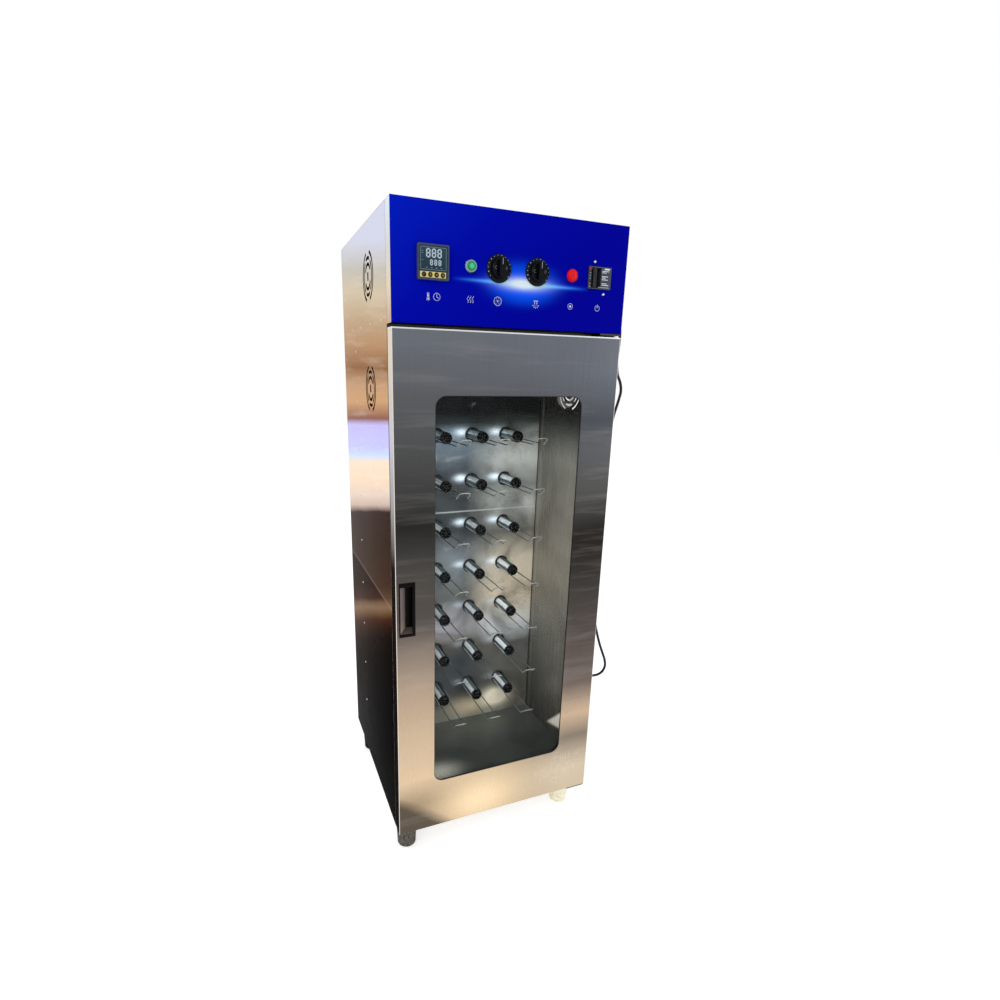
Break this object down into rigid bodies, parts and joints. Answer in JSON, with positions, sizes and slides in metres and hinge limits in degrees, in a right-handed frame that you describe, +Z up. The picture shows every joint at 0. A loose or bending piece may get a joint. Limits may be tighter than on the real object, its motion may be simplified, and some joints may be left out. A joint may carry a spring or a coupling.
{
  "type": "shoe sterilizer cabinet",
  "caption": "Tall warm-air and UV cabinet for shoes: glass door, control header, and rows of air nozzles with bent-wire racks.",
  "frame": {"origin": "middle of the cabinet's footprint, on the floor under its feet", "axes": "+Z up, -Y out of the door's front, +X towards the hinges"},
  "size_m": [0.7433, 0.626, 1.707],
  "materials": {
    "stainless": "brushed",
    "chamber_sheet": "bright rolled",
    "zinc_sheet": "galvanised",
    "blue_film": "printed film",
    "glass": "clear toughened",
    "lamp_glass": "lamp tube",
    "rubber": "matte",
    "black_plastic": "moulded",
    "nylon": "moulded",
    "grey_plastic": "moulded",
    "display_film": "tinted window",
    "bezel_metal": "polished",
    "green_lens": "translucent",
    "red_lens": "translucent",
    "fan_plastic": "moulded",
    "heater_sheath": "oxidised"
  },
  "bodies": {
    "cabinet": {"left_side_panel": "stainless", "right_side_panel": "stainless", "top_panel": "stainless", "base_pan": "stainless", "header_box": "stainless", "hinge_brackets": "stainless", "temperature_probe": "stainless", "mounting_rail": "stainless", "feet": "stainless", "side_rivets": "stainless", "service_screws": "stainless", "hanger_row_1": "stainless", "hanger_row_2": "stainless", "hanger_row_3": "stainless", "hanger_row_4": "stainless", "hanger_row_5": "stainless", "hanger_row_6": "stainless", "hanger_row_7": "stainless", "front_frame": "chamber_sheet", "chamber_floor": "chamber_sheet", "chamber_ceiling": "chamber_sheet", "nozzle_wall": "chamber_sheet", "back_panel": "zinc_sheet", "header_overlay": "blue_film", "uv_lamp_tube": "lamp_glass", "nozzle_grommets": "rubber", "mains_cord": "rubber", "cord_coil": "rubber", "nozzle_caps": "black_plastic", "mains_plug": "black_plastic", "cable_gland": "black_plastic", "coil_tie": "black_plastic", "timer_movements": "nylon", "uv_lamp_holder": "nylon", "contactor": "nylon", "terminal_block": "nylon", "controller_case": "grey_plastic", "breaker_case": "grey_plastic", "controller_film": "display_film", "heat_button_body": "bezel_metal", "pilot_lamp": "red_lens", "fan_frame": "fan_plastic", "heater_coil": "heater_sheath"},
    "door": {"door_shell": "stainless", "door_liner": "chamber_sheet", "door_glass": "glass", "glass_gasket": "rubber", "glass_clips": "stainless", "door_seal": "rubber", "handle_cup": "black_plastic", "hinge_bushes": "nylon"},
    "fan": {"fan_impeller": "fan_plastic"},
    "timer_knob_1": {"timer_knob_1": "black_plastic"},
    "timer_knob_2": {"timer_knob_2": "black_plastic"},
    "heat_button_cap": {"heat_button_cap": "green_lens"},
    "controller_key_1": {"controller_key_1": "black_plastic"},
    "controller_key_2": {"controller_key_2": "black_plastic"},
    "controller_key_3": {"controller_key_3": "black_plastic"},
    "controller_key_4": {"controller_key_4": "black_plastic"},
    "breaker_toggle": {"breaker_toggle": "black_plastic"}
  },
  "joints": [
    {"name": "door_hinge", "type": "hinge", "parent": "cabinet", "child": "door", "pos_m": [0.288, -0.272, 0.774], "axis": [0, 0, 1], "range_deg": [0, 115]},
    {"name": "fan_spin", "type": "hinge", "parent": "cabinet", "child": "fan", "pos_m": [0, 0.27, 0.402], "axis": [0, 1, 0], "continuous": true},
    {"name": "timer_1_turn", "type": "hinge", "parent": "cabinet", "child": "timer_knob_1", "pos_m": [-0.048, -0.289, 1.584], "axis": [0, 1, 0], "range_deg": [0, 300]},
    {"name": "timer_2_turn", "type": "hinge", "parent": "cabinet", "child": "timer_knob_2", "pos_m": [0.051, -0.289, 1.584], "axis": [0, 1, 0], "range_deg": [0, 300]},
    {"name": "heat_button_push", "type": "slide", "parent": "cabinet", "child": "heat_button_cap", "axis": [0, 1, 0], "range_m": [0, 0.003], "stiffness_N_per_m": 600},
    {"name": "key_1_push", "type": "slide", "parent": "cabinet", "child": "controller_key_1", "axis": [0, 1, 0], "range_m": [0, 0.0008], "stiffness_N_per_m": 1500},
    {"name": "key_2_push", "type": "slide", "parent": "cabinet", "child": "controller_key_2", "axis": [0, 1, 0], "range_m": [0, 0.0008], "stiffness_N_per_m": 1500},
    {"name": "key_3_push", "type": "slide", "parent": "cabinet", "child": "controller_key_3", "axis": [0, 1, 0], "range_m": [0, 0.0008], "stiffness_N_per_m": 1500},
    {"name": "key_4_push", "type": "slide", "parent": "cabinet", "child": "controller_key_4", "axis": [0, 1, 0], "range_m": [0, 0.0008], "stiffness_N_per_m": 1500},
    {"name": "breaker_swing", "type": "hinge", "parent": "cabinet", "child": "breaker_toggle", "pos_m": [0.2125, -0.282, 1.584], "axis": [0, 0, 1], "range_deg": [0, 70]}
  ]
}
